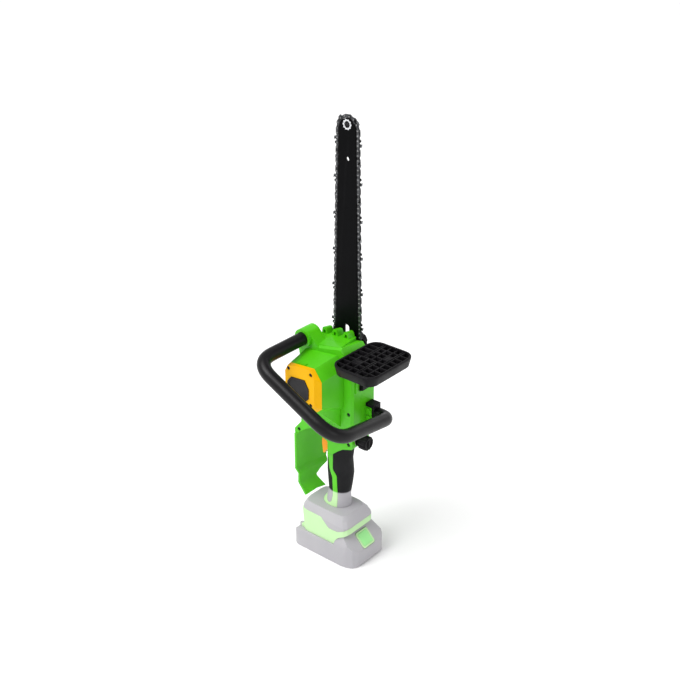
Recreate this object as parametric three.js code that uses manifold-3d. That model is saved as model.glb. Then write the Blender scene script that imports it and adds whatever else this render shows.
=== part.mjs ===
// Cordless 12-inch chainsaw, standing upright on its battery.
// Millimetres. +Z runs forward along the guide bar, +X is the saw's top (hand guard side),
// -Y is the saw's left (motor side), +Y its right (bar and sprocket cover side).
// The origin is the centre of the battery's flat underside.
import * as THREE from 'three';
import { mergeVertices } from 'three/addons/utils/BufferGeometryUtils.js';
import { ConvexGeometry } from 'three/addons/geometries/ConvexGeometry.js';
import Module from 'manifold-3d';

const wasm = await Module();
wasm.setup();

// ---------------------------------------------------------------- driving dimensions
const GAP = 0.3;              // clearance kept between touching pieces
const WALL = 2.6;             // moulded wall thickness

const BODY = {                // main housing
  left: -18, right: 27.5, bottom: -54, top: 37.7,
  frontZ: 326, frontSlopeX: 0.19, frontSlopeY: -0.14, frontTop: 18, chamferEnd: 298,
};
const DRIVE = { x: -12.5, z: 275, shaftR: 4 };   // motor and sprocket axis, along Y
const BAR = {                 // guide bar and chain
  x: -12.5, y: 32, thickness: 4, tailZ: 293, noseZ: 605.5, noseR: 13.6,
  slotLow: 298, slotHigh: 337, slotHalf: 4.4, holeZ: 567, holeR: 3.2,
};
const CHAIN = {               // 60 drive links of 1/4 inch pitch, on a 9-tooth drive sprocket
  links: 60, inner: 0.7, strap: 5.2, tooth: 7, width: 4.6, driveR: 15.4, driveTeeth: 9, noseTeeth: 8,
};
const TUBE = { r: 9.2, bore: 6.4, x: -46, z: 325, outerY: -111, topX: 86.8, topZ: 259.3 };
const GUARD = { x0: 31.5, x1: 100.3, y0: -57.5, y1: 35.3, z0: 312, z1: 327, pivotX: 27, pivotZ: 300 };
const BATTERY = { x0: -53.5, x1: 56.3, midY: -0.5, halfY: 36.5, top: 29.2, base: 2.6 };
const FOOT = { x0: -44, x1: 41, midY: -3.5, halfY: 31.5, low: 29.5, high: 75.5 };
const MID = -2;               // middle of the battery's rails, in Y
const LOCK = { x: 4, z: 192, r: 5.8 };
const CAP = { y: -4, z: 192.5, r: 10.4, neckR: 8.3, end: 55.5 };

// ---------------------------------------------------------------- solid helpers
function solid(geometry) {
  const bare = geometry.index ? geometry.toNonIndexed() : geometry.clone();
  for (const name of Object.keys(bare.attributes)) {
    if (name !== 'position') bare.deleteAttribute(name);
  }
  const merged = mergeVertices(bare, 1e-4);
  return new wasm.Manifold(new wasm.Mesh({
    numProp: 3,
    vertProperties: Float32Array.from(merged.attributes.position.array),
    triVerts: Uint32Array.from(merged.index.array),
  }));
}

function geometryOf(manifold) {
  const mesh = manifold.getMesh();
  const geometry = new THREE.BufferGeometry();
  geometry.setAttribute('position', new THREE.BufferAttribute(Float32Array.from(mesh.vertProperties), 3));
  geometry.setIndex(new THREE.BufferAttribute(Uint32Array.from(mesh.triVerts), 1));
  return geometry;
}

// A closed outline; a third number on a point rounds that corner by that much.
function outline(points, curve = 4) {
  const path = new THREE.Path();
  const count = points.length;
  points.forEach((point, i) => {
    const here = new THREE.Vector2(point[0], point[1]);
    const before = new THREE.Vector2(...points[(i + count - 1) % count].slice(0, 2));
    const after = new THREE.Vector2(...points[(i + 1) % count].slice(0, 2));
    const reach = point[2] || 0;
    const start = here.clone().add(before.sub(here).setLength(reach));
    const end = here.clone().add(after.sub(here).setLength(reach));
    if (i === 0) path.moveTo(start.x, start.y);
    else path.lineTo(start.x, start.y);
    if (reach) path.quadraticCurveTo(here.x, here.y, end.x, end.y);
  });
  path.closePath();
  const found = [];
  for (const p of path.getPoints(curve)) {
    const last = found[found.length - 1];
    if (!last || last.distanceTo(p) > 1e-3) found.push(p);
  }
  if (found[0].distanceTo(found[found.length - 1]) < 1e-3) found.pop();
  return found;
}

const AXES = {
  X: new THREE.Matrix4().makeBasis(
    new THREE.Vector3(0, 1, 0), new THREE.Vector3(0, 0, 1), new THREE.Vector3(1, 0, 0)),
  Y: new THREE.Matrix4().makeBasis(
    new THREE.Vector3(1, 0, 0), new THREE.Vector3(0, 0, 1), new THREE.Vector3(0, -1, 0)),
  Z: new THREE.Matrix4(),
};

// Extrudes an outline along an axis from low to high. Outlines are (y, z) for X, (x, z) for Y, (x, y) for Z.
function prism(axis, points, low, high, options = {}) {
  const shape = new THREE.Shape(outline(points, options.curve));
  for (const hole of options.holes || []) shape.holes.push(new THREE.Path(outline(hole, options.curve)));
  const geometry = new THREE.ExtrudeGeometry(shape, {
    depth: high - low, steps: options.steps || 1, bevelEnabled: false,
  });
  geometry.translate(0, 0, axis === 'Y' ? -high : low);
  geometry.applyMatrix4(AXES[axis]);
  if (options.warp) warp(geometry, options.warp);
  return solid(geometry);
}

function warp(geometry, move) {
  const position = geometry.attributes.position;
  const point = new THREE.Vector3();
  for (let i = 0; i < position.count; i += 1) {
    point.fromBufferAttribute(position, i);
    move(point);
    position.setXYZ(i, point.x, point.y, point.z);
  }
}

function box(x0, x1, y0, y1, z0, z1) {
  const geometry = new THREE.BoxGeometry(x1 - x0, y1 - y0, z1 - z0);
  geometry.translate((x0 + x1) / 2, (y0 + y1) / 2, (z0 + z1) / 2);
  return solid(geometry);
}

// A round bar along an axis, from low to high; (u, v) is its centre in the other two axes' order.
function round(axis, u, v, r, low, high, sides = 24) {
  const geometry = new THREE.CylinderGeometry(r, r, high - low, sides);
  geometry.rotateX(Math.PI / 2);
  geometry.translate(u, v, axis === 'Y' ? -(low + high) / 2 : (low + high) / 2);
  geometry.applyMatrix4(AXES[axis]);
  return solid(geometry);
}

function hull(points) {
  return solid(new ConvexGeometry(points.map((p) => new THREE.Vector3(...p))));
}

// The convex solid between two outlines, each [outline, level], lying across the given axis.
function loft(axis, ...sections) {
  const points = [];
  for (const [shape, level, curve] of sections) {
    for (const p of outline(shape, curve)) {
      points.push({ X: [level, p.x, p.y], Y: [p.x, level, p.y], Z: [p.x, p.y, level] }[axis]);
    }
  }
  return hull(points);
}

const union = (...parts) => parts.reduce((sum, part) => sum.add(part));
const cut = (body, ...tools) => tools.reduce((rest, tool) => rest.subtract(tool), body);

function circle(u, v, r, sides, start = 0) {
  const points = [];
  for (let i = 0; i < sides; i += 1) {
    const angle = start + (i / sides) * 2 * Math.PI;
    points.push([u + r * Math.cos(angle), v + r * Math.sin(angle)]);
  }
  return points;
}

// The same outline drawn inward by an amount, square to every edge; a negative amount grows it.
function inset(points, amount) {
  const count = points.length;
  const area = points.reduce((sum, [x, z], i) => {
    const [nextX, nextZ] = points[(i + 1) % count];
    return sum + x * nextZ - nextX * z;
  }, 0);
  const edges = points.map((p, i) => {
    const q = points[(i + 1) % count];
    const length = Math.hypot(q[0] - p[0], q[1] - p[1]) * Math.sign(area);
    return [-(q[1] - p[1]) / length, (q[0] - p[0]) / length];
  });
  return points.map((p, i) => {
    const [ax, az] = edges[(i + count - 1) % count];
    const [bx, bz] = edges[i];
    const k = amount / (1 + ax * bx + az * bz);
    return [p[0] + (ax + bx) * k, p[1] + (az + bz) * k, p[2] || 0];
  });
}

const rectangle = (x0, x1, y0, y1, r = 0) => [[x0, y0, r], [x1, y0, r], [x1, y1, r], [x0, y1, r]];

// ---------------------------------------------------------------- colours
function finish(color, roughness, metalness = 0) {
  return new THREE.MeshStandardMaterial({ color, roughness, metalness });
}
const GREEN = finish(0x5fc81e, 0.42);
const BLACK = finish(0x1b1b1d, 0.55);
const RUBBER = finish(0x141416, 0.8);
const YELLOW = finish(0xf7b500, 0.4);
const ORANGE = finish(0xf79a10, 0.42);
const STEEL = finish(0x8d9094, 0.35, 0.9);
const DARKSTEEL = finish(0x17181a, 0.4, 0.6);
const PALEGREY = finish(0xb4b4b6, 0.5);
const PALEGREEN = finish(0xcdf0b8, 0.5);
const COPPER = finish(0xb4693a, 0.4, 0.9);
const BOARD = finish(0x1e5a2d, 0.6);
const CELL = finish(0x2f6fb0, 0.5);

const saw = new THREE.Group();
saw.name = 'chainsaw';

function piece(name, body, material) {
  const mesh = new THREE.Mesh(geometryOf(body), material);
  mesh.name = name;
  saw.add(mesh);
}

// ---------------------------------------------------------------- grip volume
// Stations up the grip: height, centre in X, half width in X, half width in Y.
const GRIP = [
  [66, -2.6, 21.5, 17], [77, -2.6, 21.5, 17], [84, -0.6, 18.8, 15.6], [92, 1, 17, 14.6], [100, 2, 17, 14.5],
  [115, 2.7, 19, 15.3], [130, 3.1, 20.5, 15.9], [152, 2.1, 19.2, 16], [168, 3.2, 20.4, 16.4],
  [192, 4.2, 21, 17],
];

function gripAt(z) {
  const top = GRIP.findIndex((station) => station[0] >= z);
  const b = GRIP[Math.max(1, top < 0 ? GRIP.length - 1 : top)];
  const a = GRIP[GRIP.indexOf(b) - 1];
  const t = THREE.MathUtils.clamp((z - a[0]) / (b[0] - a[0]), 0, 1);
  return [1, 2, 3].map((k) => a[k] + (b[k] - a[k]) * t);
}

function gripVolume(inset, low = GRIP[0][0], high = GRIP[GRIP.length - 1][0], sides = 28) {
  const levels = [low, ...GRIP.map((s) => s[0]).filter((z) => z > low + 1 && z < high - 1), high];
  const geometry = new THREE.ExtrudeGeometry(new THREE.Shape(outline(circle(0, 0, 1, sides))), {
    depth: levels.length - 1, steps: levels.length - 1, bevelEnabled: false,
  });
  warp(geometry, (p) => {
    const z = levels[Math.round(p.z)];
    const [centre, halfX, halfY] = gripAt(z);
    p.set(centre + p.x * (halfX - inset), p.y * (halfY - inset), z);
  });
  return solid(geometry);
}

// Green stripe down both sides of the grip; rubber lies on each side of it.
const STRIPE_BACK = [[-24, 152], [-9, 151, 2], [-5.7, 134.7, 3], [0.2, 123.7, 3], [0.2, 92]];
const STRIPE_FRONT = [[7.9, 92], [7.9, 128.5, 3], [1.2, 136.5, 3], [1.9, 161.5], [11.3, 170], [21, 177],
  [BODY.top, 182.8]];
const PALM_AREA = [[60, 70], [7.9, 70], ...STRIPE_FRONT, [60, 182.8]];
const FINGER_AREA = [[-60, 152], [-60, 88], [-13, 87, 2], [-11.5, 82, 2.5], [-6.5, 79.5, 2],
  [-1.5, 81.5, 2.5],
  ...STRIPE_BACK.slice().reverse()];

// ---------------------------------------------------------------- housing shells
const frontAt = (x, y) => BODY.frontZ + BODY.frontSlopeX * x + BODY.frontSlopeY * (y - BODY.left);

function bodyBlock(inset) {
  const left = BODY.left + inset;
  const right = BODY.right - inset;
  const low = BODY.bottom + inset;
  const high = BODY.top - inset;
  const points = [];
  for (const [y, edge] of [[left, 3.2], [left + 3.4, 0], [right, 0]]) {
    points.push([low, y, 200 + inset], [low, y, 296 - inset],
      [low + 4, y, frontAt(low, y) - inset - 1 - edge]);
    points.push([BODY.frontTop - inset / 2, y, frontAt(BODY.frontTop, y) - inset - edge]);
    points.push([high - edge, y, BODY.chamferEnd - inset / 2], [high - edge, y, 200 + inset]);
  }
  return hull(points);
}

const REAR_OUTER = [
  [-61.5, 171.5], [-60, 173, 1], [-52.9, 178.6, 3], [-42.7, 186.2, 4], [-32.7, 190, 4], [-24, 187.5, 3],
  [-16, 183], [-6, 180, 3], [-5, 160], [1.9, 161.5], [11.3, 170], [21, 177], [BODY.top, 182.8, 2],
  [BODY.top, 214], [-53.6, 214], [-53.6, 193.5, 2], [-66, 178.5, 1], [-66, 171.5],
];
const REAR_CAVITY = [
  [-46, 192.5], [-33, 194], [-22, 191.5], [-13, 186.5], [-3, 183.5], [-2.2, 166.5], [3, 167], [12, 174.5],
  [24, 181.5], [BODY.top - WALL, 185.8], [BODY.top - WALL, 210], [-50, 210],
];

function bossVolume(r, y0, y1) {
  return round('Y', TUBE.x, TUBE.z, r, y0, y1, 28);
}

function housingOuter() {
  const bossFill = prism('Y', [[-54, 296], [-30, 300], [-20, 318], [-25, 322, 2], [-35, 332.6],
    [-46, 331], [-59.2, 325]], BODY.left, 2.5);
  const grip = gripVolume(2.2, 60.5, 192);
  const rubbered = [prism('Y', PALM_AREA, -30, 30), prism('Y', FINGER_AREA, -30, 30)];
  const stripe = cut(gripVolume(0, 75.9, 190), ...rubbered);
  const lug = box(BODY.top - 3, 48, 9.5, 23.5, 206, 239);
  const lugBoss = union(round('Y', 43.3, 234.6, 3.4, 7.9, 12, 16), round('Y', 43.3, 223.6, 3.4, 7.9, 12, 16));
  const rib = box(BODY.top - 1, BODY.top + 2.2, -12.5, -8.5, 267, 297);
  const barPad = prism('Y', rectangle(-30, 5, 290, 311, 4), BODY.right - 1, BAR.y - BAR.thickness / 2 - GAP);
  const rear = prism('Y', REAR_OUTER, BODY.left, 18);
  return union(bodyBlock(0), rear, bossVolume(13.4, -22, 2.5), bossFill, grip, stripe,
    lug, lugBoss, rib, barPad, bumperTeeth());
}

function housingCavity() {
  const main = bodyBlock(WALL);
  const rear = prism('Y', REAR_CAVITY, BODY.left + WALL, 18 - WALL);
  const throat = box(-50 + WALL, BODY.top - WALL, BODY.left + WALL, 18 - WALL, 196, 206);
  const grip = gripVolume(2.2 + WALL, 58, 192, 20);
  return union(main, rear, throat, grip);
}

function housingCuts() {
  const motorBore = round('Y', DRIVE.x, DRIVE.z, 28.5, -30, BODY.left + 8, 32);
  const shaftBore = round('Y', DRIVE.x, DRIVE.z, 11.4, 15, 40);
  const tubeBore = bossVolume(TUBE.r + GAP, -30, 1.2);
  const triggerSlot = box(-40, -8, -6.2, 6.2, 146, 184);
  const capNeck = round('X', CAP.y, CAP.z, CAP.neckR + GAP, 30, 50);
  const guardSlot = box(14, 50, -5.2, 13.2, 289.5, 309);
  const lockBore = round('Y', LOCK.x, LOCK.z, LOCK.r + GAP, 10, 30);
  const stud = round('Y', BAR.x, 304, 4 + GAP, 20, 40, 16);
  return [motorBore, shaftBore, tubeBore, triggerSlot, capNeck, guardSlot, lockBore, stud];
}

// Three bumper teeth moulded on a raised strip at the front, beside the bar.
// Each tooth is a ridge along Y with a narrow crest and a small arch in its end.
function bumperTeeth() {
  const strip = (x) => 321 + 0.1 * (x + 41);
  const plinth = hull([
    ...[-47, 15].flatMap((x) => [[x, -14.4, frontAt(x, -14.4) - 6], [x, -14.4, frontAt(x, -14.4)]]),
    ...[-45, 6].flatMap((x) => [
      [x, 13.5, strip(x)], [x, BODY.right, strip(x)], [x, BODY.right, strip(x) - 14]])]);
  const ridge = (x) => hull([[14.5, 10], [BODY.right, 7.6]].flatMap(([y, tall]) => [
    [x - 6.5, y, strip(x) - 3], [x + 5, y, strip(x) - 3], [x - 4.5, y, strip(x) + tall - 1.5],
    [x - 2.5, y, strip(x) + tall], [x + 0.8, y, strip(x) + tall], [x + 2.2, y, strip(x) + tall - 1.5],
  ]));
  const arch = (x) => hull([13, 18.5].flatMap((y) => [
    [x - 3.4, y, strip(x) + 0.8], [x + 1.6, y, strip(x) + 0.8],
    [x - 2.4, y, strip(x) + 6], [x + 0.4, y, strip(x) + 6]]));
  return union(plinth, ...[-37, -19, 0].map((x) => cut(ridge(x), arch(x))));
}

// Blocks moulded inside the shells: bosses that carry the guard's pin and the shaft's bearing.
function innerBosses() {
  const pinBlocks = union(
    box(20, 33, BODY.left + 1, -5.6, 293, 306), box(20, 33, 13.6, BODY.right - 1, 293, 306));
  const bearing = cut(round('Y', DRIVE.x, DRIVE.z, 14.5, 18, BODY.right - 1),
    round('Y', DRIVE.x, DRIVE.z, 11.4, 10, 40));
  const studBlock = box(BAR.x - 8, BAR.x + 8, 18, BODY.right - 1, 296, 312);
  return union(pinBlocks, bearing, studBlock);
}

const pinBore = round('Y', GUARD.pivotX, GUARD.pivotZ, 2.5 + GAP, BODY.left + 4, BODY.right - 4, 16);
const screwPlaces = [[31, 234.8], [31, 188], [-58, 179.4]];
const shellBody = cut(union(cut(housingOuter(), housingCavity()), innerBosses()),
  ...housingCuts(), pinBore,
  ...screwPlaces.map(([x, z]) => round('Y', x, z, 2.9, -30, BODY.left + 2.2, 16)));
const half = (side) => (side < 0
  ? box(-300, 300, -300, -GAP / 2, -50, 700)
  : box(-300, 300, GAP / 2, 300, -50, 700));

piece('left_housing', shellBody.intersect(half(-1)), GREEN);
piece('right_housing', shellBody.intersect(half(1)), GREEN);

// ---------------------------------------------------------------- motor housing and cover
const PLATE_BACK = [[-43, 262], [-43, 296], [-38, 305.5], [3.5, 309.5], [15.7, 293], [15.7, 253.2],
  [7.5, 246], [-35, 244.5]];
const PLATE_FRONT = [[-41.5, 264], [-41.5, 295.5], [-36.5, 304.8], [1.5, 310], [9, 299], [9, 258],
  [2, 250.5], [-33, 248]];
const BULGE_ROOT = [[-50, 250], [-50, 298], [-42, 311], [12, 318], [22.5, 300], [22.5, 243],
  [14, 236], [-42, 236]];
const SKIRT_FRONT = [[-38, 245.5], [-38, 262], [10, 262], [10, 247]];
const SKIRT_ROOT = [[-48, 214], [-48, 262], [16.9, 262], [16.9, 212]];
const PLATE_Y = { front: -61.5, back: -54 };
const HUB = [[-30.4, 289.4], [-7.1, 291.5], [-0.4, 280.3], [-0.6, 266.5], [-6.7, 260], [-30, 257.5],
  [-36.7, 264], [-36.7, 282]];

function motorHousing() {
  const front = PLATE_Y.back + GAP;
  const root = BODY.left - GAP;
  const outer = union(loft('Y', [PLATE_BACK, front], [BULGE_ROOT, root]),
    loft('Y', [SKIRT_FRONT, front], [SKIRT_ROOT, root]));
  const inner = union(
    loft('Y', [inset(PLATE_BACK, 3), front - 0.5], [inset(BULGE_ROOT, 3), root + 0.5]),
    loft('Y', [inset(SKIRT_FRONT, 3), front - 0.5], [inset(SKIRT_ROOT, 3), root + 0.5]));
  const lip = loft('Y', [[[-29, 304], [-12, 305.6], [-12, 309.8], [-29, 308.2]], front + 0.2],
    [[[-29, 304], [-12, 305.6], [-12, 309.8], [-29, 308.2]], front + 4]);
  return cut(union(outer, lip), inner);
}

const PLATE_SCREWS = [[-35.6, 300.4], [3, 302.6], [2.6, 257.5], [-34.6, 254.5]];

function motorPlate() {
  const outer = loft('Y', [PLATE_FRONT, PLATE_Y.front], [PLATE_BACK, PLATE_Y.back]);
  const inner = loft('Y', [inset(PLATE_FRONT, 5), PLATE_Y.front + 2.4],
    [inset(PLATE_BACK, 2.4), PLATE_Y.back + 1]);
  const posts = union(...PLATE_SCREWS.map(([x, z]) =>
    round('Y', x, z, 4.4, PLATE_Y.front + 0.6, PLATE_Y.back, 12)));
  const shell = union(cut(outer, inner), posts.intersect(outer));
  return cut(shell, prism('Y', inset(HUB, -GAP), -70, -50),
    ...PLATE_SCREWS.map(([x, z]) => round('Y', x, z, 2.9, -70, PLATE_Y.back - 2, 12)));
}

function hubCover() {
  const outer = prism('Y', HUB, -63, -57);
  const dish = prism('Y', inset(HUB, 2.2), -64, -62);
  const bearingBoss = cut(round('Y', DRIVE.x, DRIVE.z, 9.6, -57.5, -53.2),
    round('Y', DRIVE.x, DRIVE.z, 7.4, -57, -50));
  return union(cut(outer, dish), bearingBoss);
}

piece('motor_housing', motorHousing(), GREEN);
piece('motor_cover', motorPlate(), YELLOW);
piece('motor_hub_cover', hubCover(), BLACK);
PLATE_SCREWS.forEach(([x, z], i) => {
  const screw = cut(round('Y', x, z, 2.6, PLATE_Y.front + 0.8, PLATE_Y.back - 2.3, 12),
    box(x - 1.6, x + 1.6, -61.5, -59.8, z - 0.5, z + 0.5));
  piece(`cover_screw_${i + 1}`, screw, DARKSTEEL);
});
screwPlaces.forEach(([x, z], i) => {
  const top = BODY.left + 0.9;
  const screw = cut(round('Y', x, z, 2.6, top, BODY.left + 1.9, 12),
    box(x - 1.6, x + 1.6, top - 1, top + 0.5, z - 0.5, z + 0.5));
  piece(`housing_screw_${i + 1}`, screw, DARKSTEEL);
});

// ---------------------------------------------------------------- motor and drive
const STATOR = { y0: -49, y1: -27, outer: 26, inner: 16, slots: 9 };

function polarBox(angle, r0, r1, halfWidth, y0, y1) {
  const geometry = new THREE.BoxGeometry(r1 - r0, y1 - y0, 2 * halfWidth);
  geometry.translate((r0 + r1) / 2, 0, 0);
  geometry.rotateY(angle);
  geometry.translate(DRIVE.x, (y0 + y1) / 2, DRIVE.z);
  return solid(geometry);
}

function ring(axis, u, v, outer, inner, low, high, sides = 24) {
  return cut(round(axis, u, v, outer, low, high, sides), round(axis, u, v, inner, low - 1, high + 1, sides));
}

const slotAngles = Array.from({ length: STATOR.slots }, (_, i) => (i / STATOR.slots) * 2 * Math.PI);
const statorCore = cut(ring('Y', DRIVE.x, DRIVE.z, STATOR.outer, STATOR.inner, STATOR.y0, STATOR.y1, 36),
  ...slotAngles.map((a) => polarBox(a, 17.5, 23.5, 2.2, STATOR.y0 - 1, STATOR.y1 + 1)));
const coils = union(
  ring('Y', DRIVE.x, DRIVE.z, 23.2, 17.8, STATOR.y0 - 3.3, STATOR.y0 - GAP),
  ring('Y', DRIVE.x, DRIVE.z, 23.2, 17.8, STATOR.y1 + GAP, STATOR.y1 + 3.3),
  ...slotAngles.map((a) => polarBox(a, 18.2, 22.8, 1.7, STATOR.y0 - 1, STATOR.y1 + 1)));
piece('stator_core', statorCore, STEEL);
piece('stator_coils', coils, COPPER);
piece('motor_rotor', ring('Y', DRIVE.x, DRIVE.z, 15.2, DRIVE.shaftR + GAP, STATOR.y0, STATOR.y1), DARKSTEEL);
piece('drive_shaft', round('Y', DRIVE.x, DRIVE.z, DRIVE.shaftR, -56.5, 38, 16), STEEL);
piece('rear_bearing', ring('Y', DRIVE.x, DRIVE.z, 7.1, DRIVE.shaftR + GAP, -56.6, -53.4, 20), STEEL);
piece('front_bearing', ring('Y', DRIVE.x, DRIVE.z, 11.1, DRIVE.shaftR + GAP, 19, 26, 20), STEEL);

function coolingFan() {
  const plate = ring('Y', DRIVE.x, DRIVE.z, 22, DRIVE.shaftR + GAP, -20.5, -19);
  const blades = slotAngles.map((a) => polarBox(a, 9, 21.5, 0.8, -23, -19.6));
  return union(plate, ...blades);
}
piece('cooling_fan', coolingFan(), BLACK);

function starOutline(teeth, root, tip) {
  const points = [];
  for (let i = 0; i < teeth; i += 1) {
    const middle = (i / teeth) * 2 * Math.PI;
    const half = Math.PI / teeth;
    for (const [turn, r] of [[-0.55, root], [-0.2, tip], [0.2, tip], [0.55, root]]) {
      points.push([r * Math.cos(middle + turn * half), r * Math.sin(middle + turn * half)]);
    }
  }
  return points;
}

const moved = (points, dx, dz) => points.map(([x, z]) => [x + dx, z + dz]);
const driveStar = moved(starOutline(CHAIN.driveTeeth, 11.6, 14.6), DRIVE.x, DRIVE.z);
piece('drive_sprocket', prism('Y', driveStar, 29, 35, {
  holes: [circle(DRIVE.x, DRIVE.z, DRIVE.shaftR + GAP, 16)],
}), DARKSTEEL);

// ---------------------------------------------------------------- guide bar and chain
const TAPER = 0.0188;         // the bar's half width grows by this much per millimetre back from the nose
const barHalf = (z) => BAR.noseR + (BAR.noseZ - z) * TAPER;

// The belt line: a loop drawn tight round the nose, the bar's two shoulders and the drive sprocket.
const SHOULDER = { z: 304, r: 3 };
const BELT = [
  { x: BAR.x, z: BAR.noseZ, r: BAR.noseR },
  { x: BAR.x - barHalf(SHOULDER.z) + SHOULDER.r, z: SHOULDER.z, r: SHOULDER.r },
  { x: DRIVE.x, z: DRIVE.z, r: CHAIN.driveR },
  { x: BAR.x + barHalf(SHOULDER.z) - SHOULDER.r, z: SHOULDER.z, r: SHOULDER.r },
];

// Straight runs and arcs of the belt line, counter-clockwise seen with X right and Z up.
function beltParts() {
  const normals = BELT.map((a, i) => {
    const b = BELT[(i + 1) % BELT.length];
    const away = Math.hypot(b.x - a.x, b.z - a.z);
    const heading = Math.atan2(b.z - a.z, b.x - a.x);
    return heading - Math.acos((a.r - b.r) / away);
  });
  return BELT.map((a, i) => {
    const b = BELT[(i + 1) % BELT.length];
    const enter = normals[(i + BELT.length - 1) % BELT.length];
    let sweep = normals[i] - enter;
    while (sweep < 0) sweep += 2 * Math.PI;
    while (sweep > 2 * Math.PI) sweep -= 2 * Math.PI;
    const away = Math.hypot(b.x - a.x, b.z - a.z);
    return {
      a, enter, sweep, arc: sweep * a.r, out: normals[i],
      run: Math.sqrt(away ** 2 - (a.r - b.r) ** 2),
    };
  });
}

const PARTS = beltParts();
const BELT_LENGTH = PARTS.reduce((sum, part) => sum + part.arc + part.run, 0);

// The point at a distance along the belt line, pushed out square to it.
function beltPoint(distance, push) {
  let left = ((distance % BELT_LENGTH) + BELT_LENGTH) % BELT_LENGTH;
  for (const part of PARTS) {
    if (left <= part.arc) {
      const angle = part.enter + left / part.a.r;
      return [part.a.x + (part.a.r + push) * Math.cos(angle), part.a.z + (part.a.r + push) * Math.sin(angle)];
    }
    left -= part.arc;
    if (left <= part.run) {
      const along = part.out + Math.PI / 2;
      return [
        part.a.x + (part.a.r + push) * Math.cos(part.out) + left * Math.cos(along),
        part.a.z + (part.a.r + push) * Math.sin(part.out) + left * Math.sin(along),
      ];
    }
    left -= part.run;
  }
  return beltPoint(0, push);
}

function chainLoop() {
  const steps = CHAIN.links * 2;
  const outer = [];
  const inner = [];
  for (let i = 0; i < steps; i += 1) {
    const distance = (i / steps) * BELT_LENGTH;
    const cutter = i % 4 === 1 || i % 4 === 2;
    outer.push(beltPoint(distance, cutter ? CHAIN.tooth : CHAIN.strap));
    inner.push(beltPoint(distance, CHAIN.inner));
  }
  return prism('Y', outer, BAR.y - CHAIN.width / 2, BAR.y + CHAIN.width / 2, { holes: [inner.reverse()] });
}

function guideBar() {
  const y0 = BAR.y - BAR.thickness / 2;
  const y1 = BAR.y + BAR.thickness / 2;
  const points = [];
  for (let i = 0; i <= 14; i += 1) {
    const angle = (i / 14) * Math.PI;
    points.push([BAR.x + BAR.noseR * Math.cos(angle), BAR.noseZ + BAR.noseR * Math.sin(angle)]);
  }
  const shoulder = barHalf(SHOULDER.z);
  points.push([BAR.x - shoulder, SHOULDER.z], [BAR.x - 15, BAR.tailZ], [BAR.x + 15, BAR.tailZ],
    [BAR.x + shoulder, SHOULDER.z]);
  const slot = rectangle(
    BAR.x - BAR.slotHalf, BAR.x + BAR.slotHalf, BAR.slotLow, BAR.slotHigh, BAR.slotHalf - 0.2);
  const plate = prism('Y', points, y0, y1, { holes: [slot, circle(BAR.x, BAR.holeZ, BAR.holeR, 12)] });
  const pocket = round('Y', BAR.x, BAR.noseZ, BAR.noseR + 0.4, BAR.y - 0.9, BAR.y + 0.9, 32);
  const rivet = round('Y', BAR.x, BAR.noseZ, 3, y0, y1, 16);
  return union(cut(plate, pocket), rivet);
}

piece('guide_bar', guideBar(), DARKSTEEL);
piece('saw_chain', chainLoop(), DARKSTEEL);
const noseStar = moved(starOutline(CHAIN.noseTeeth, 9.8, 12.8), BAR.x, BAR.noseZ);
piece('nose_sprocket', prism('Y', noseStar, BAR.y - 0.5, BAR.y + 0.5, {
  holes: [circle(BAR.x, BAR.noseZ, 3 + GAP, 16)],
}), STEEL);
piece('bar_stud', round('Y', BAR.x, 304, 4, 20.3, 55, 16), STEEL);

// ---------------------------------------------------------------- sprocket cover and its knob
const COVER = { x0: -43, x1: 18, z0: 226, z1: 320.5, y0: BODY.right + GAP, shoulder: 38, y1: 46.5, slope: 8 };

function coverVolume(inset, y0, y1) {
  const base = rectangle(COVER.x0 + inset, COVER.x1 - inset, COVER.z0 + inset, COVER.z1 - inset, 14);
  const lid = rectangle(COVER.x0 + COVER.slope + inset, COVER.x1 - COVER.slope - inset,
    COVER.z0 + COVER.slope + inset, COVER.z1 - COVER.slope - inset, 12);
  return loft('Y', [base, y0, 3], [base, COVER.shoulder, 3], [lid, y1, 3]);
}

function sprocketCover() {
  const shell = cut(coverVolume(0, COVER.y0, COVER.y1), coverVolume(2.4, COVER.y0 - 1, COVER.y1 - 2.4));
  const mouth = box(-40.4, 15.4, 20, 37, 296, 330);
  const knobHole = round('Y', BAR.x, 304, 4 + GAP, 40, 60, 16);
  const nutSeat = round('Y', BAR.x, 304, 8, 36.5, COVER.y1 - 1, 20);
  return cut(union(cut(shell, mouth), nutSeat), knobHole, round('Y', BAR.x, 304, 4 + GAP, 30, 60, 16));
}

function lobedOutline(u, v, r, lobes, depth) {
  const points = [];
  for (let i = 0; i < lobes * 4; i += 1) {
    const reach = i % 4 === 0 ? r - depth : r;
    const angle = (i / (lobes * 4)) * 2 * Math.PI;
    points.push([u + reach * Math.cos(angle), v + reach * Math.sin(angle)]);
  }
  return points;
}

piece('sprocket_cover', sprocketCover(), BLACK);
piece('cover_knob', prism('Y', lobedOutline(BAR.x, 304, 15, 6, 1.6), COVER.y1 + GAP, COVER.y1 + 11, {
  holes: [circle(BAR.x, 304, 4 + GAP, 16)],
}), BLACK);

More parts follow.
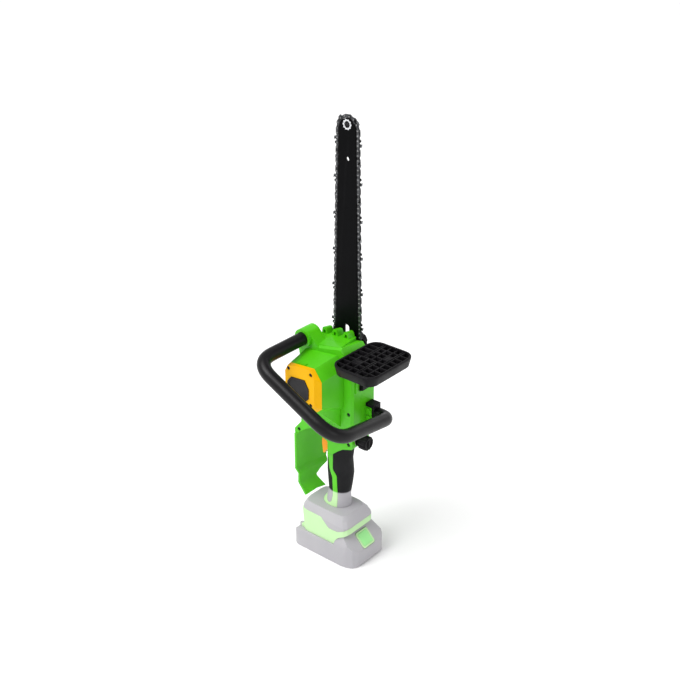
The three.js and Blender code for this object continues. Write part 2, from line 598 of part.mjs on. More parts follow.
// ---------------------------------------------------------------- wrap handle
function wrapHandle() {
  const v = (x, y, z) => new THREE.Vector3(x, y, z);
  const corners = [v(TUBE.x, 0.8, TUBE.z), v(TUBE.x, TUBE.outerY, TUBE.z),
    v(TUBE.topX, TUBE.outerY, TUBE.topZ),
    v(71.5, 16.5, 229.5), v(52.9, 16.5, 229.5)];
  const bends = [0, 30, 36, 12, 0];
  const path = new THREE.CurvePath();
  let from = corners[0];
  for (let i = 1; i < corners.length; i += 1) {
    const back = corners[i - 1].clone().sub(corners[i]).setLength(bends[i]).add(corners[i]);
    path.add(new THREE.LineCurve3(from, back));
    from = back;
    if (bends[i] && i < corners.length - 1) {
      const onward = corners[i + 1].clone().sub(corners[i]).setLength(bends[i]).add(corners[i]);
      path.add(new THREE.QuadraticBezierCurve3(back, corners[i], onward));
      from = onward;
    }
  }
  const shape = new THREE.Shape(outline(circle(0, 0, TUBE.r, 12)));
  shape.holes.push(new THREE.Path(outline(circle(0, 0, TUBE.bore, 6))));
  return solid(new THREE.ExtrudeGeometry(shape, { steps: 34, extrudePath: path, bevelEnabled: false }));
}
piece('wrap_handle', wrapHandle(), BLACK);
const clampOutline = [[38, 239.3], [38, 244.5], [52.6, 244.5], [52.6, 219], [48.3, 219], [48.3, 239.3]];
piece('handle_clamp', prism('Y', clampOutline, 9.5, 23.5), BLACK);

// ---------------------------------------------------------------- grips, trigger and lock-off
const skin = cut(gripVolume(0, 75.9, 190), gripVolume(1.9, 70, 192));
piece('palm_grip', skin.intersect(prism('Y', inset(PALM_AREA, GAP), -30, 30)), RUBBER);
piece('finger_grip', skin.intersect(prism('Y', inset(FINGER_AREA, GAP), -30, 30)), RUBBER);
piece('trigger', prism('Y', [[-9, 181.5, 2], [-15, 182.5, 2], [-24.5, 178, 3], [-27, 166, 6], [-24.8, 154],
  [-24.4, 149.4, 0.8], [-22.3, 149.2], [-16.5, 158], [-9, 167]], -5.8, 5.8), ORANGE);
piece('trigger_switch', union(box(-4, 12, -7, 7, 173, 188), box(-6.5, -4, -2.5, 2.5, 177, 182)), BLACK);
piece('lock_off_button', union(round('Y', LOCK.x, LOCK.z, LOCK.r, 17.4, 22, 20),
  round('Y', LOCK.x, LOCK.z, 3, 9, 18, 12)), BLACK);

// ---------------------------------------------------------------- rear hand guard
const KNUCKLE = [[-65.3, 171.2], [-65.3, 113], [-59.3, 107], [-59.8, 92.4], [-46.8, 75.8], [-43.8, 77.6],
  [-56.4, 93.6], [-56.2, 108.2], [-62, 114], [-62, 171.2]];

function rearHandGuard() {
  const straight = prism('Y', KNUCKLE, -20, 2);
  const flared = prism('Y', KNUCKLE, 2, 40, { warp: (p) => { p.x += (p.y - 2) * 0.3; } });
  const side = prism('X', [[-30, 60], [17.5, 60], [17.5, 76], [11.6, 92, 2], [19.5, 101], [33, 110.5, 4],
    [37, 150],
    [24, 175], [-30, 175]], -90, -20);
  return union(straight, flared).intersect(side);
}
piece('rear_hand_guard', rearHandGuard(), GREEN);

// ---------------------------------------------------------------- front hand guard
function guardPockets() {
  const floor = GUARD.z0 + 3;
  const rim = 3.4;
  const x = (a) => GUARD.x0 + rim + a * (GUARD.x1 - GUARD.x0 - 2 * rim);
  const y = (b) => GUARD.y0 + rim + b * (GUARD.y1 - GUARD.y0 - 2 * rim);
  const halves = [
    { columns: [0, 0.2, 0.4, 0.575, 0.625, 0.81, 1], from: 0, to: 0.5, solidCell: [1, 2] },
    { columns: [0, 0.25, 0.3, 0.45, 0.62, 0.76, 0.81, 1], from: 0.5, to: 1, solidCell: [4, 1] },
  ];
  const rib = 0.8;
  const pockets = [];
  for (const { columns, from, to, solidCell } of halves) {
    for (let c = 0; c + 1 < columns.length; c += 1) {
      const groove = columns[c + 1] - columns[c] < 0.06;
      const rows = groove ? 1 : 4;
      for (let r = 0; r < rows; r += 1) {
        if (solidCell[0] === c && solidCell[1] === r) continue;
        const b0 = from + (r / rows) * (to - from);
        const b1 = from + ((r + 1) / rows) * (to - from);
        const trim = groove ? 0.5 : rib;
        pockets.push(box(x(columns[c]) + trim, x(columns[c + 1]) - trim, y(b0) + rib, y(b1) - rib,
          groove ? GUARD.z1 - 5 : floor, GUARD.z1 + 2));
      }
    }
  }
  return pockets;
}

function guardTray() {
  const rim = rectangle(GUARD.x0, GUARD.x1, GUARD.y0, GUARD.y1, 10);
  const under = rectangle(GUARD.x0 + 3, GUARD.x1 - 3, GUARD.y0 + 3, GUARD.y1 - 3, 10);
  const tray = loft('Z', [under, GUARD.z0, 3], [rim, GUARD.z1 - 2.5, 3], [rim, GUARD.z1, 3]);
  const bowl = box(GUARD.x0 + 4, GUARD.x1 - 4, GUARD.y0 + 4, GUARD.y1 - 4, GUARD.z1 - 1.2, GUARD.z1 + 2);
  return cut(tray, bowl, ...guardPockets());
}

// The arm ends just under the tray, and turns on the pin.
function guardArm() {
  const top = GUARD.z0 - GAP;
  const stem = prism('Y', [[38.3, 268], [44, 270], [46, 300], [47.7, top], [38.3, top]], -4.6, 12.6);
  const arm = union(box(27, 39, -4.6, 12.6, 294.5, 305.5),
    round('Y', GUARD.pivotX, GUARD.pivotZ, 5.5, -4.6, 12.6, 20));
  return cut(union(stem, arm), round('Y', GUARD.pivotX, GUARD.pivotZ, 2.5 + GAP, -10, 20, 16));
}
piece('hand_guard', guardTray(), BLACK);
piece('guard_arm', guardArm(), BLACK);
piece('guard_pin', round('Y', GUARD.pivotX, GUARD.pivotZ, 2.5, BODY.left + 4.3, BODY.right - 4.3, 16), STEEL);

// ---------------------------------------------------------------- oil system
function oilTank(inset) {
  const lower = box(15 + inset, 34.3 - inset, -10.8 + inset, 14.4 - inset, 187 + inset, 232 - inset);
  const upper = box(-44 + inset, 34.3 - inset, -10.8 + inset, 14.4 - inset, 205 + inset, 232 - inset);
  return union(lower, upper);
}
const neck = round('X', CAP.y, CAP.z, CAP.neckR, 33, 37.4, 20);
piece('oil_tank', cut(union(oilTank(0), neck), oilTank(2),
  round('X', CAP.y, CAP.z, 6.4, 30, 40, 20)), PALEGREY);
piece('oil_cap', union(prism('X', lobedOutline(CAP.y, CAP.z, CAP.r, 8, 1.4), 42.2, CAP.end),
  round('X', CAP.y, CAP.z, CAP.neckR, 38.1, 43, 20), round('X', CAP.y, CAP.z, 6.1, 32, 39, 20)), BLACK);
piece('oil_pump', union(box(-38, -20, 2, 15, 239, 254), round('Y', -29, 246, 4, 14, 19, 12)), PALEGREY);
piece('oil_hose', round('Z', -29, 8, 2.2, 232.3, 238.7, 10), BLACK);

// ---------------------------------------------------------------- electronics in the grip
piece('controller_board', union(box(-7.4, 10, 3, 4.6, 84, 138), box(-6, -1, 1, 3.5, 92, 104),
  box(1, 6, 0.5, 3.5, 110, 126)), BOARD);
function wiringLoom() {
  const path = new THREE.CatmullRomCurve3([
    [0, -4, 62], [1, -5, 90], [2, -6, 130], [3, -5, 155], [4, -3, 172.5]]
    .map((p) => new THREE.Vector3(...p)));
  return solid(new THREE.ExtrudeGeometry(new THREE.Shape(outline(circle(0, 0, 2, 8))), {
    steps: 14, extrudePath: path, bevelEnabled: false,
  }));
}
piece('wiring_loom', wiringLoom(), RUBBER);

// ---------------------------------------------------------------- foot
// The step line shared by the socket's lower edge and the battery's raised end.
const STEP = [[18.4, FOOT.low], [21.5, 37.5], [28, 44], [60, 60]];
const FOOT_SPLIT = [[60, 64.5], [44, 62], [36, 57.5, 3], [24, 52.5, 4], [9, 52.5, 3],
  [1.5, 60, 3], [-4, 64.5, 2],
  [-60, 65.5]];
const FOOT_LINE = inset([[-60, 0], [60, 0], ...FOOT_SPLIT], GAP).slice(2);
const footLayer = (x0, x1, halfY, r) => rectangle(x0, x1, FOOT.midY - halfY, FOOT.midY + halfY, r);
const footVolume = loft('Z',
  [footLayer(FOOT.x0 + 3, FOOT.x1 - 0.5, FOOT.halfY - 0.7, 11), FOOT.low, 3],
  [footLayer(FOOT.x0, FOOT.x1, FOOT.halfY, 12), 62, 3],
  [footLayer(FOOT.x0 + 0.6, FOOT.x1 - 4, FOOT.halfY - 2.8, 13), 70, 3],
  [footLayer(FOOT.x0 + 3, FOOT.x1 - 9, FOOT.halfY - 7.2, 13), FOOT.high, 3]);
const roofArea = prism('Y', [...FOOT_SPLIT, [-60, 90], [60, 90]], -50, 50);
const bandArea = prism('Y', [[-60, FOOT.low], ...STEP, ...FOOT_LINE], -50, 50);
const ledges = [box(-37, 16, -33.5, MID - 22.5, 32, 37), box(-37, 16, MID + 22.5, 26.5, 32, 37)];
const heels = [-27.8, 20.8].map((y) => prism('Z', rectangle(-48.5, -37, y - 3, y + 3, 2.6), FOOT.low, 34));
const socketRoom = prism('Z', rectangle(-38, 37.5, FOOT.midY - 28.5, FOOT.midY + 28.5, 10), 20, 59);
piece('foot_cover', cut(footVolume.intersect(roofArea), gripVolume(1.9, 50, 85),
  box(-34, 31, MID - 25, MID + 25, 40, 63)), PALEGREY);
piece('battery_socket', union(cut(footVolume.intersect(bandArea), socketRoom,
  gripVolume(1.9, 50, 85)), ...ledges, ...heels), PALEGREEN);
piece('terminal_block', union(box(-30, 12, MID - 9, MID + 9, 45, 56.5),
  ...[-6, -2, 2, 6].map((y) => box(-26, -8, MID + y - 0.5, MID + y + 0.5, 35, 46))), BLACK);

// ---------------------------------------------------------------- battery
// The battery's end slopes at 45 degrees, and its button lies on the slope.
const BUTTON = { x: 46.5, z: 33.5, y: 0.8, turn: -Math.PI / 4, halfY: 12.5, half: 12.3 };

function onButton(x0, x1, halfY, half) {
  const geometry = new THREE.BoxGeometry(x1 - x0, 2 * halfY, 2 * half);
  geometry.translate((x0 + x1) / 2, 0, 0);
  geometry.rotateY(BUTTON.turn);
  geometry.translate(BUTTON.x, BUTTON.y, BUTTON.z);
  return solid(geometry);
}

function batteryCase() {
  const { x0, x1, top } = BATTERY;
  const low = BATTERY.midY - BATTERY.halfY;
  const high = BATTERY.midY + BATTERY.halfY;
  const profile = [[x0, 24, 4], [x0 + 5.5, top, 3], [17, top], [17, 50], [30, 50], [x1 - 0.5, 24.2, 4],
    [x1, 4], [x1 - 3, 0], [x0, 0, 9]];
  const plan = [[x0, low, 7], [x1, low, 25], [x1, high, 16], [x0, high, 7]];
  const bayPlan = inset(plan, 2.7).map(([x, y, r]) => [x, y, r - 2.5]);
  const clearOfSocket = inset([[-70, FOOT.low], ...STEP, [60, 90], [-70, 90]], -GAP - 0.05);
  const section = [[low, -5], [low, 30, 6], [low + 6, 50], [high - 9, 50], [high, 28, 8], [high, -5]];
  const outer = prism('Y', profile, low, high).intersect(prism('Z', plan, -5, 60, { curve: 4 }))
    .intersect(prism('X', section, -70, 70));
  const bay = prism('Z', bayPlan, BATTERY.base, 25, { curve: 3 }).intersect(box(-60, 46, -50, 50, 0, 30));
  const mouth = box(-46, 16, MID - 28, MID + 28, 20, 40);
  const pocket = onButton(-7.6, 3, BUTTON.halfY + 0.5, BUTTON.half + 0.5);
  return cut(outer, prism('Y', clearOfSocket, -60, 60), bay, mouth, pocket);
}
piece('battery_case', batteryCase(), PALEGREY);
const rails = [-1, 1].flatMap((side) => [
  box(-30, 15, MID + Math.min(side * 14, side * 22), MID + Math.max(side * 14, side * 22), 29, 42),
  box(-30, 15, MID + Math.min(side * 21, side * 26), MID + Math.max(side * 21, side * 26), 37.5, 42)]);
piece('battery_lid', union(box(-45.7, 15.7, MID - 27.7, MID + 27.7, 26.6, BATTERY.top), ...rails,
  box(-33, -6, MID - 15, MID + 15, 29, 32)), PALEGREY);
piece('battery_button', onButton(-4.5, 0.9, BUTTON.halfY, BUTTON.half), PALEGREEN);
for (let i = 0; i < 5; i += 1) {
  piece(`battery_cell_${i + 1}`, round('Y', -39 + 18.4 * i, 14.5, 9, -31, 27.4, 16), CELL);
}

export default saw;
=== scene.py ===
"""Looks of a cordless chainsaw that stands upright on its battery. Metres, in the frame's own axes:
+Z forward along the guide bar, +X the saw's top, -Y the motor side, +Y the bar and cover side."""
import math

import bmesh
import bpy
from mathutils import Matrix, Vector


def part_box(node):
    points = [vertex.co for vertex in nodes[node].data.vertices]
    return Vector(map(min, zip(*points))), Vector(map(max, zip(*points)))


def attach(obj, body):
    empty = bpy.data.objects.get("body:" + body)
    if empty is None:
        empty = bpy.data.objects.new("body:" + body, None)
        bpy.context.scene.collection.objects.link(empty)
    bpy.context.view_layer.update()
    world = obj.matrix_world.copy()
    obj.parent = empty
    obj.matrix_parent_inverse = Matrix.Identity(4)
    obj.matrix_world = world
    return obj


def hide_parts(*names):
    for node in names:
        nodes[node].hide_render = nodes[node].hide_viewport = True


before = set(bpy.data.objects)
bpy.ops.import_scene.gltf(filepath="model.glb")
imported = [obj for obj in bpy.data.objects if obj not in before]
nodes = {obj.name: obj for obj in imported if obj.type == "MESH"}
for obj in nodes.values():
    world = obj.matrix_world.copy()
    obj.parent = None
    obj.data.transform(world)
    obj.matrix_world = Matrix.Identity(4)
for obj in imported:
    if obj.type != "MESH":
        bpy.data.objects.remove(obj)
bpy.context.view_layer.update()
MM = 0.001


# ---------------------------------------------------------------- materials
def rgb(red, green, blue):
    """A screen colour, 0 to 255, as linear light."""
    def linear(value):
        value /= 255
        return value / 12.92 if value <= 0.04045 else ((value + 0.055) / 1.055) ** 2.4
    return (linear(red), linear(green), linear(blue), 1)


class Surface:
    """A Principled material and the node network that feeds it."""

    def __init__(self, name, metallic=0.0, specular=0.5, coat=0.0):
        self.material = bpy.data.materials.new(name)
        self.material.use_nodes = True
        self.tree = self.material.node_tree
        self.shader = self.tree.nodes["Principled BSDF"]
        self.shader.inputs["Metallic"].default_value = metallic
        self.shader.inputs["Specular IOR Level"].default_value = specular
        self.shader.inputs["Coat Weight"].default_value = coat
        self.shader.inputs["Coat Roughness"].default_value = 0.2
        self.place = self.node("ShaderNodeTexCoord").outputs["Object"]
        self.bumps = None

    def node(self, kind, **settings):
        made = self.tree.nodes.new(kind)
        for key, value in settings.items():
            setattr(made, key, value)
        return made

    def link(self, source, target):
        self.tree.links.new(source, target)

    def noise(self, scale, detail=3.0, stretch=None, rough=0.5):
        """A noise value over the piece; scale is features per metre, stretch slows it along an axis."""
        texture = self.node("ShaderNodeTexNoise")
        texture.inputs["Scale"].default_value = scale
        texture.inputs["Detail"].default_value = detail
        texture.inputs["Roughness"].default_value = rough
        place = self.place
        if stretch:
            mapping = self.node("ShaderNodeMapping")
            mapping.inputs["Scale"].default_value = stretch
            self.link(place, mapping.inputs["Vector"])
            place = mapping.outputs["Vector"]
        self.link(place, texture.inputs["Vector"])
        return texture.outputs["Fac"]

    def cells(self, scale):
        texture = self.node("ShaderNodeTexVoronoi", feature="F1")
        texture.inputs["Scale"].default_value = scale
        self.link(self.place, texture.inputs["Vector"])
        return texture.outputs["Distance"]

    def ramp(self, value, low, high, to_low, to_high):
        """Maps a value from low..high to to_low..to_high, held at the ends."""
        node = self.node("ShaderNodeMapRange")
        for key, number in zip(("From Min", "From Max", "To Min", "To Max"), (low, high, to_low, to_high)):
            node.inputs[key].default_value = number
        self.link(value, node.inputs["Value"])
        return node.outputs["Result"]

    def axis(self, name):
        split = self.node("ShaderNodeSeparateXYZ")
        self.link(self.place, split.inputs["Vector"])
        return split.outputs[name]

    def mix(self, value, first, second):
        """A colour between two, each a colour or another socket."""
        node = self.node("ShaderNodeMix", data_type="RGBA")
        self.link(value, node.inputs["Factor"])
        for socket, colour in zip((node.inputs[6], node.inputs[7]), (first, second)):
            if isinstance(colour, bpy.types.NodeSocket):
                self.link(colour, socket)
            else:
                socket.default_value = colour
        return node.outputs[2]

    def colour(self, source):
        self.link(source, self.shader.inputs["Base Color"])

    def roughness(self, value, low, high):
        self.link(self.ramp(value, 0.3, 0.7, low, high), self.shader.inputs["Roughness"])

    def bump(self, height, distance, strength=1.0):
        node = self.node("ShaderNodeBump")
        node.inputs["Distance"].default_value = distance
        node.inputs["Strength"].default_value = strength
        self.link(height, node.inputs["Height"])
        if self.bumps:
            self.link(self.bumps, node.inputs["Normal"])
        self.bumps = node.outputs["Normal"]
        self.link(self.bumps, self.shader.inputs["Normal"])

    def cloud(self, scale, detail=4, low=0.35, high=0.65, rough=0.5):
        """Soft patches, from 0 to 1."""
        return self.ramp(self.noise(scale, detail, rough=rough), low, high, 0.0, 1.0)

    def before(self, axis, level, blend):
        """1 below a level on an axis and 0 above it, with a short blend."""
        return self.ramp(self.axis(axis), level - blend, level + blend, 1.0, 0.0)

    def grain(self, fine, coarse):
        """Spark-eroded grain: fine specks over weaker, slower waves."""
        self.bump(self.noise(2600, 2), fine)
        self.bump(self.noise(420, 2), coarse, 0.6)

    def edges(self, colour_source, edge_colour, amount):
        """Lightens convex edges a little, as handling does."""
        wear = self.node("ShaderNodeNewGeometry").outputs["Pointiness"]
        broken = self.node("ShaderNodeMath", operation="MULTIPLY")
        self.link(self.ramp(wear, 0.52, 0.62, 0.0, amount), broken.inputs[0])
        self.link(self.ramp(self.noise(180, 4), 0.35, 0.6, 0.2, 1.0), broken.inputs[1])
        return self.mix(broken.outputs[0], colour_source, edge_colour)


FADE_BLEND, HEEL_BLEND = 0.0012, 0.0003      # half the width over which a colour changes to the next


def moulded(name, base, tint, rough=(0.34, 0.46), grain=0.00003, specular=0.3, coat=0.0, edge=None):
    """Moulded plastic: a cloudy tint, spark-eroded grain and slow changes of gloss."""
    surface = Surface(name, specular=specular, coat=coat)
    colour = surface.mix(surface.cloud(14), base, tint)
    if edge:
        colour = surface.edges(colour, edge, 0.5)
    surface.colour(colour)
    surface.roughness(surface.noise(60, 3), *rough)
    surface.grain(grain, grain * 1.5)
    return surface.material


def grip_rubber(name, base, tint, faded, faded_tint, fade_z):
    """Soft overmould with a leathery grain; below a level it turns to a paler colour."""
    surface = Surface(name, specular=0.14)
    below = surface.before("Z", fade_z, FADE_BLEND)
    cloud = surface.cloud(30)
    surface.colour(surface.mix(below, surface.mix(cloud, base, tint), surface.mix(cloud, faded, faded_tint)))
    surface.roughness(surface.noise(90, 3), 0.5, 0.68)
    surface.bump(surface.cells(900), 0.00012, 0.7)
    surface.bump(surface.noise(300, 3), 0.00006)
    return surface.material


def housing_paint(name, base, tint, faded, faded_tint, fade_z):
    """The housing's green; the grip's stripe turns pale below a level."""
    surface = Surface(name, specular=0.32, coat=0.04)
    below = surface.before("Z", fade_z, FADE_BLEND)
    cloud = surface.cloud(12)
    surface.colour(surface.mix(below, surface.mix(cloud, base, tint), surface.mix(cloud, faded, faded_tint)))
    surface.roughness(surface.noise(60, 3), 0.34, 0.46)
    surface.grain(0.00003, 0.00004)
    return surface.material


def socket_plastic(name, base, tint, heel, heel_x):
    """The socket's pale green; its two heels behind the back wall are grey."""
    surface = Surface(name, specular=0.25)
    behind = surface.before("X", heel_x, HEEL_BLEND)
    surface.colour(surface.mix(behind, surface.mix(surface.cloud(14), base, tint), heel))
    surface.roughness(surface.noise(60, 3), 0.44, 0.58)
    surface.grain(0.00003, 0.00004)
    return surface.material


def metal(name, base, tint, rough, brush=None):
    """Metal with a fine brushed or ground direction and stained patches."""
    surface = Surface(name, metallic=1.0)
    stain = surface.cloud(45, 5, 0.38, 0.66, 0.6)
    surface.colour(surface.edges(surface.mix(stain, base, tint), rgb(170, 172, 176), 0.5))
    surface.roughness(surface.noise(500, 3, brush), *rough)
    surface.bump(surface.noise(1500, 2, brush), 0.00002)
    return surface.material


FADE_Z = 0.0995              # the grip is faded below this height
HEEL_X = -0.0444             # the socket's heels stand behind this
PALE_GREY, PALE_GREY_TINT = rgb(176, 174, 178), rgb(168, 166, 171)
PALE_GREEN, PALE_GREEN_TINT = rgb(190, 226, 172), rgb(184, 222, 166)
finishes = {
    "green": housing_paint("green_plastic", rgb(84, 196, 14), rgb(72, 182, 10), PALE_GREEN,
                           rgb(188, 234, 160), FADE_Z),
    "guard_green": moulded("green_guard_plastic", rgb(84, 194, 14), rgb(72, 180, 10), coat=0.05),
    "black": moulded("black_plastic", rgb(17, 16, 18), rgb(11, 10, 12), (0.36, 0.48), 0.00004,
                     specular=0.1, edge=rgb(44, 42, 46)),
    "tube": moulded("tube_black", rgb(17, 16, 18), rgb(12, 11, 13), (0.3, 0.4), 0.00005, specular=0.22),
    "rubber": grip_rubber("grip_rubber", rgb(26, 26, 28), rgb(18, 18, 20), PALE_GREY, PALE_GREY_TINT,
                          FADE_Z),
    "hub": moulded("hub_black_plastic", rgb(46, 45, 47), rgb(22, 21, 23), (0.4, 0.6), 0.00012, specular=0.2,
                   edge=rgb(60, 58, 62)),
    "cable": moulded("cable_rubber", rgb(24, 24, 26), rgb(18, 18, 20), (0.5, 0.6)),
    "yellow": moulded("plate_yellow", rgb(240, 180, 0), rgb(232, 170, 0), (0.34, 0.46), specular=0.12),
    "orange": moulded("trigger_orange", rgb(244, 156, 4), rgb(236, 144, 0), (0.3, 0.4)),
    "bar": moulded("bar_black_lacquer", rgb(5, 5, 7), rgb(3, 3, 4), (0.3, 0.4), 0.00001, specular=0.05,
                   edge=rgb(40, 40, 42)),
    "chain": metal("chain_steel", rgb(44, 43, 44), rgb(16, 16, 17), (0.34, 0.52)),
    "rivet": metal("rivet_steel", rgb(140, 138, 136), rgb(84, 82, 80), (0.28, 0.42)),
    "nose_mark": moulded("nose_mark_white", rgb(225, 226, 228), rgb(208, 209, 212), (0.4, 0.5)),
    "dark_steel": metal("screw_steel", rgb(40, 40, 43), rgb(24, 24, 26), (0.3, 0.45)),
    "steel": metal("ground_steel", rgb(168, 170, 174), rgb(132, 134, 138), (0.2, 0.34), (1, 0.08, 1)),
    "copper": metal("winding_copper", rgb(198, 116, 66), rgb(158, 84, 44), (0.28, 0.42), (1, 0.05, 1)),
    "pale_grey": moulded("pale_grey_plastic", PALE_GREY, PALE_GREY_TINT, (0.44, 0.58), specular=0.35),
    "pale_green": moulded("pale_green_plastic", PALE_GREEN, PALE_GREEN_TINT, (0.44, 0.58), specular=0.25),
    "socket": socket_plastic("socket_green_plastic", PALE_GREEN, PALE_GREEN_TINT, PALE_GREY, HEEL_X),
    "button_green": moulded("button_green_plastic", rgb(160, 232, 152), rgb(150, 224, 142), (0.4, 0.52),
                            specular=0.35),
    "tank": moulded("tank_plastic", rgb(222, 222, 214), rgb(206, 206, 196), (0.4, 0.5)),
    "board": moulded("board_green", rgb(28, 92, 44), rgb(18, 74, 34), (0.25, 0.35), coat=0.3),
    "cell": moulded("cell_sleeve", rgb(46, 110, 186), rgb(38, 96, 168), (0.25, 0.35)),
}


# ---------------------------------------------------------------- mesh helpers
def new_piece(name, mesh_maker, material, body, replaces=(), smooth=True):
    """Builds a piece from a bmesh, gives it its finish and makes it ride on a body."""
    bm = bmesh.new()
    mesh_maker(bm)
    bmesh.ops.recalc_face_normals(bm, faces=bm.faces)
    mesh = bpy.data.meshes.new(name)
    bm.to_mesh(mesh)
    bm.free()
    for polygon in mesh.polygons:
        polygon.use_smooth = smooth
    piece = bpy.data.objects.new(name, mesh)
    bpy.context.scene.collection.objects.link(piece)
    mesh.materials.append(finishes[material])
    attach(piece, body)
    if replaces:
        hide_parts(*replaces)


WELD_DISTANCE = 0.00001      # metres
CREASE_MARGIN = 8            # degrees past the rounded angle at which shading breaks


def soften(piece, width, angle):
    """Rounds the edges sharper than an angle, in degrees, and shades the rest smooth."""
    weld = piece.modifiers.new("weld", "WELD")
    weld.merge_threshold = WELD_DISTANCE
    bevel = piece.modifiers.new("round", "BEVEL")
    bevel.width = width
    bevel.segments = 2
    bevel.limit_method = "ANGLE"
    bevel.angle_limit = math.radians(angle)
    bevel.use_clamp_overlap = True
    bevel.miter_outer = "MITER_ARC"
    crease = piece.modifiers.new("crease", "EDGE_SPLIT")
    crease.split_angle = math.radians(angle + CREASE_MARGIN)
    crease.use_edge_sharp = False
    normals = piece.modifiers.new("shade", "WEIGHTED_NORMAL")
    normals.mode = "FACE_AREA"
    normals.weight = 80
    normals.keep_sharp = False


# ---------------------------------------------------------------- finishes of the frame's own nodes
OWN_FINISH = {
    "green": ["left_housing", "right_housing", "motor_housing"],
    "guard_green": ["rear_hand_guard"],
    "yellow": ["motor_cover"],
    "hub": ["motor_hub_cover"],
    "black": ["sprocket_cover", "cover_knob", "handle_clamp", "lock_off_button", "guard_arm",
              "trigger_switch", "cooling_fan", "terminal_block"],
    "rubber": ["palm_grip", "finger_grip"],
    "cable": ["wiring_loom", "oil_hose"],
    "orange": ["trigger"],
    "bar": ["guide_bar"],
    "dark_steel": (["drive_sprocket", "motor_rotor"] + [f"cover_screw_{i}" for i in range(1, 5)]
                   + [f"housing_screw_{i}" for i in range(1, 4)]),
    "steel": ["stator_core", "drive_shaft", "rear_bearing", "front_bearing", "nose_sprocket", "bar_stud",
              "guard_pin"],
    "copper": ["stator_coils"],
    "pale_grey": ["foot_cover", "battery_case", "battery_lid"],
    "socket": ["battery_socket"],
    "tank": ["oil_tank", "oil_pump"],
    "board": ["controller_board"],
    "cell": [f"battery_cell_{i}" for i in range(1, 6)],
}
for finish, names in OWN_FINISH.items():
    for name in names:
        nodes[name].data.materials.clear()
        nodes[name].data.materials.append(finishes[finish])

ROUNDED = {      # node: (edge radius in millimetres, smallest angle that is rounded)
    "left_housing": (0.7, 24), "right_housing": (0.7, 24), "motor_housing": (1.0, 16),
    "motor_cover": (0.7, 24), "motor_hub_cover": (0.5, 24), "sprocket_cover": (0.8, 24),
    "cover_knob": (0.8, 40), "handle_clamp": (0.6, 24), "lock_off_button": (0.5, 30),
    "guard_arm": (0.5, 30), "palm_grip": (0.35, 40), "finger_grip": (0.35, 40), "trigger": (0.9, 30),
    "rear_hand_guard": (0.7, 52), "guide_bar": (0.25, 30), "foot_cover": (0.7, 24),
    "battery_case": (1.2, 24), "battery_socket": (0.5, 24), "battery_lid": (0.4, 30),
}
OTHERS_ROUNDED = (0.15, 35)
for name, piece in nodes.items():
    width, angle = ROUNDED.get(name, OTHERS_ROUNDED)
    soften(piece, width * MM, angle)


# ---------------------------------------------------------------- outlines and solids for new pieces
def arc(u, v, radius, start, end, steps):
    """Points on an arc, angles in degrees."""
    angles = [math.radians(start + (end - start) * i / steps) for i in range(steps + 1)]
    return [(u + radius * math.cos(a), v + radius * math.sin(a)) for a in angles]


def rounded(u0, u1, v0, v1, radius, steps=6):
    """A rectangle with round corners, anticlockwise."""
    return (arc(u1 - radius, v1 - radius, radius, 0, 90, steps)
            + arc(u0 + radius, v1 - radius, radius, 90, 180, steps)
            + arc(u0 + radius, v0 + radius, radius, 180, 270, steps)
            + arc(u1 - radius, v0 + radius, radius, 270, 360, steps))


def loft(bm, rings):
    """Joins rings of points, each the same length, and closes both ends."""
    made = [[bm.verts.new(Vector(point) * MM) for point in ring] for ring in rings]
    count = len(made[0])
    for lower, upper in zip(made, made[1:]):
        for i in range(count):
            bm.faces.new((lower[i], lower[(i + 1) % count], upper[(i + 1) % count], upper[i]))
    bm.faces.new(list(reversed(made[0])))
    bm.faces.new(made[-1])


def plate(bm, outline, place, low, high, chamfer=0.0):
    """A flat plate: an outline of (u, v) points put in space by place(u, v, level), with chamfered rims."""
    centre = [sum(point[k] for point in outline) / len(outline) for k in (0, 1)]

    def ring(level, shrink):
        points = []
        for u, v in outline:
            reach = math.hypot(u - centre[0], v - centre[1]) or 1
            keep = 1 - shrink / reach
            points.append(place(centre[0] + (u - centre[0]) * keep, centre[1] + (v - centre[1]) * keep,
                                level))
        return points
    rings = [ring(low, chamfer), ring(low + chamfer, 0), ring(high - chamfer, 0), ring(high, chamfer)]
    loft(bm, rings if chamfer else [ring(low, 0), ring(high, 0)])


def middle(node):
    low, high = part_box(node)
    return (low + high) / (2 * MM)


# ---------------------------------------------------------------- wrap handle
TUBE_RADIUS = 9.2
TUBE_LIP = 1.2                # the rounding of the tube's ends
TUBE_CORNERS = [Vector(p) for p in ((-46, 0.8, 325), (-46, -111, 325), (86.8, -111, 259.3),
                                    (71.5, 16.5, 229.5), (52.9, 16.5, 229.5))]
TUBE_BENDS = [0, 30, 36, 12, 0]      # how far from each corner its bend begins


def tube_path(steps=14):
    path = [TUBE_CORNERS[0]]
    for before, corner, after, reach in zip(TUBE_CORNERS, TUBE_CORNERS[1:], TUBE_CORNERS[2:], TUBE_BENDS[1:]):
        start = corner + (before - corner).normalized() * reach
        end = corner + (after - corner).normalized() * reach
        straight = path[-1]
        path += [straight.lerp(start, k / 6) for k in range(1, 6)]
        for k in range(steps + 1):
            t = k / steps
            path.append(start * (1 - t) ** 2 + corner * 2 * t * (1 - t) + end * t ** 2)
    return path + [TUBE_CORNERS[-1]]


